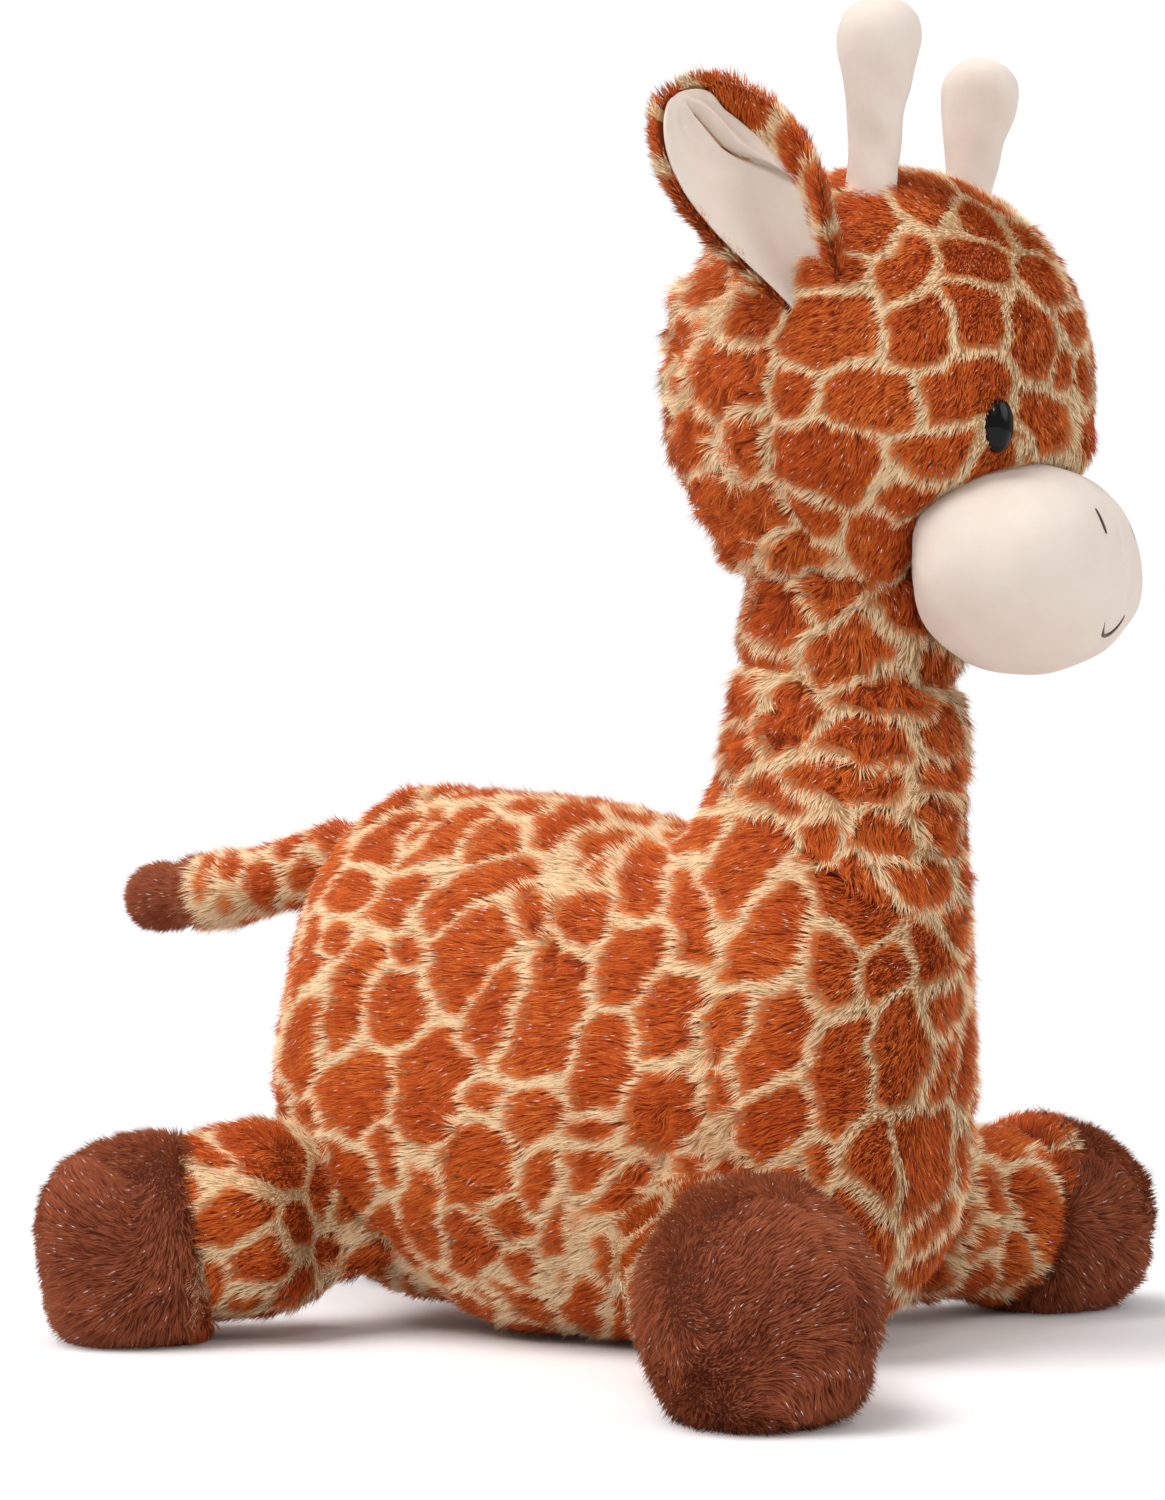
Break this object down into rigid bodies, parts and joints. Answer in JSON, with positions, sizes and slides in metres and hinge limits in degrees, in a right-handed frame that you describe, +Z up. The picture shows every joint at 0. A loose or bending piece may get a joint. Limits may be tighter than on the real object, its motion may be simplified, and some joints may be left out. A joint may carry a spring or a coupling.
{
  "type": "plush giraffe",
  "caption": "Soft toy giraffe lying on its belly, with splayed legs, an upright neck, a round head with horns and cupped ears, a pale snout and a tail.",
  "frame": {"origin": "on the flat of the belly where the toy rests, on its middle plane, below the middle of the body", "axes": "+Z up, -Y the way the toy faces, +X to its own left; the body, head and tail lie on the X = 0 plane"},
  "size_m": [0.45, 0.5142, 0.5673],
  "materials": {
    "patterned_pile": "long pile fabric printed with orange-brown patches between cream lines",
    "brown_pile": "long plain brown pile fabric",
    "cream_velour": "short cream velour",
    "fibre_fill": "loose white polyester fibre",
    "stitch_thread": "dark brown embroidery thread",
    "eye_plastic": "polished black",
    "washer_plastic": "white, moulded"
  },
  "bodies": {
    "torso": {"torso_skin": "patterned_pile", "torso_stuffing": "fibre_fill", "neck_skin": "patterned_pile", "neck_stuffing": "fibre_fill"},
    "head": {"head_skin": "patterned_pile", "head_stuffing": "fibre_fill", "snout_skin": "cream_velour", "snout_stuffing": "fibre_fill", "nostril_stitch_right": "stitch_thread", "nostril_stitch_left": "stitch_thread", "smile_stitch": "stitch_thread", "eye_right": "eye_plastic", "eye_left": "eye_plastic", "eye_washer_right": "washer_plastic", "eye_washer_left": "washer_plastic"},
    "ear_right": {"ear_back_right": "patterned_pile", "ear_lining_right": "cream_velour"},
    "ear_left": {"ear_back_left": "patterned_pile", "ear_lining_left": "cream_velour"},
    "horn_right": {"horn_skin_right": "cream_velour", "horn_stuffing_right": "fibre_fill"},
    "horn_left": {"horn_skin_left": "cream_velour", "horn_stuffing_left": "fibre_fill"},
    "leg_front_right": {"leg_sleeve_front_right": "patterned_pile", "foot_front_right": "brown_pile", "leg_stuffing_front_right": "fibre_fill"},
    "leg_front_left": {"leg_sleeve_front_left": "patterned_pile", "foot_front_left": "brown_pile", "leg_stuffing_front_left": "fibre_fill"},
    "leg_hind_right": {"leg_sleeve_hind_right": "patterned_pile", "foot_hind_right": "brown_pile", "leg_stuffing_hind_right": "fibre_fill"},
    "leg_hind_left": {"leg_sleeve_hind_left": "patterned_pile", "foot_hind_left": "brown_pile", "leg_stuffing_hind_left": "fibre_fill"},
    "tail": {"tail_sleeve": "patterned_pile", "tail_tip": "brown_pile", "tail_stuffing": "fibre_fill"}
  },
  "joints": [
    {"name": "head_nod", "type": "hinge", "parent": "torso", "child": "head", "pos_m": [0, -0.152, 0.385], "axis": [-1, 0, 0], "range_deg": [-4, 12], "stiffness_Nm_per_rad": 6},
    {"name": "ear_right_flap", "type": "hinge", "parent": "head", "child": "ear_right", "pos_m": [-0.079, -0.157, 0.447], "axis": [-0.7, 0.3414, -0.6272], "range_deg": [-15, 15], "stiffness_Nm_per_rad": 0.3},
    {"name": "ear_left_flap", "type": "hinge", "parent": "head", "child": "ear_left", "pos_m": [0.079, -0.157, 0.447], "axis": [0.7, 0.3414, -0.6272], "range_deg": [-15, 15], "stiffness_Nm_per_rad": 0.3},
    {"name": "horn_right_sway", "type": "hinge", "parent": "head", "child": "horn_right", "pos_m": [-0.049, -0.179, 0.496], "axis": [1, 0, 0], "range_deg": [-12, 12], "stiffness_Nm_per_rad": 0.4},
    {"name": "horn_left_sway", "type": "hinge", "parent": "head", "child": "horn_left", "pos_m": [0.049, -0.179, 0.496], "axis": [1, 0, 0], "range_deg": [-12, 12], "stiffness_Nm_per_rad": 0.4},
    {"name": "leg_front_right_swing", "type": "hinge", "parent": "torso", "child": "leg_front_right", "pos_m": [-0.076, -0.108, 0.06], "axis": [0, 0, 1], "range_deg": [-15, 15], "stiffness_Nm_per_rad": 1},
    {"name": "leg_front_left_swing", "type": "hinge", "parent": "torso", "child": "leg_front_left", "pos_m": [0.076, -0.108, 0.06], "axis": [0, 0, 1], "range_deg": [-15, 15], "stiffness_Nm_per_rad": 1},
    {"name": "leg_hind_right_swing", "type": "hinge", "parent": "torso", "child": "leg_hind_right", "pos_m": [-0.064, 0.08, 0.062], "axis": [0, 0, 1], "range_deg": [-15, 15], "stiffness_Nm_per_rad": 1},
    {"name": "leg_hind_left_swing", "type": "hinge", "parent": "torso", "child": "leg_hind_left", "pos_m": [0.064, 0.08, 0.062], "axis": [0, 0, 1], "range_deg": [-15, 15], "stiffness_Nm_per_rad": 1},
    {"name": "tail_lift", "type": "hinge", "parent": "torso", "child": "tail", "pos_m": [0, 0.102, 0.208], "axis": [1, 0, 0], "range_deg": [-20, 20], "stiffness_Nm_per_rad": 0.6}
  ]
}
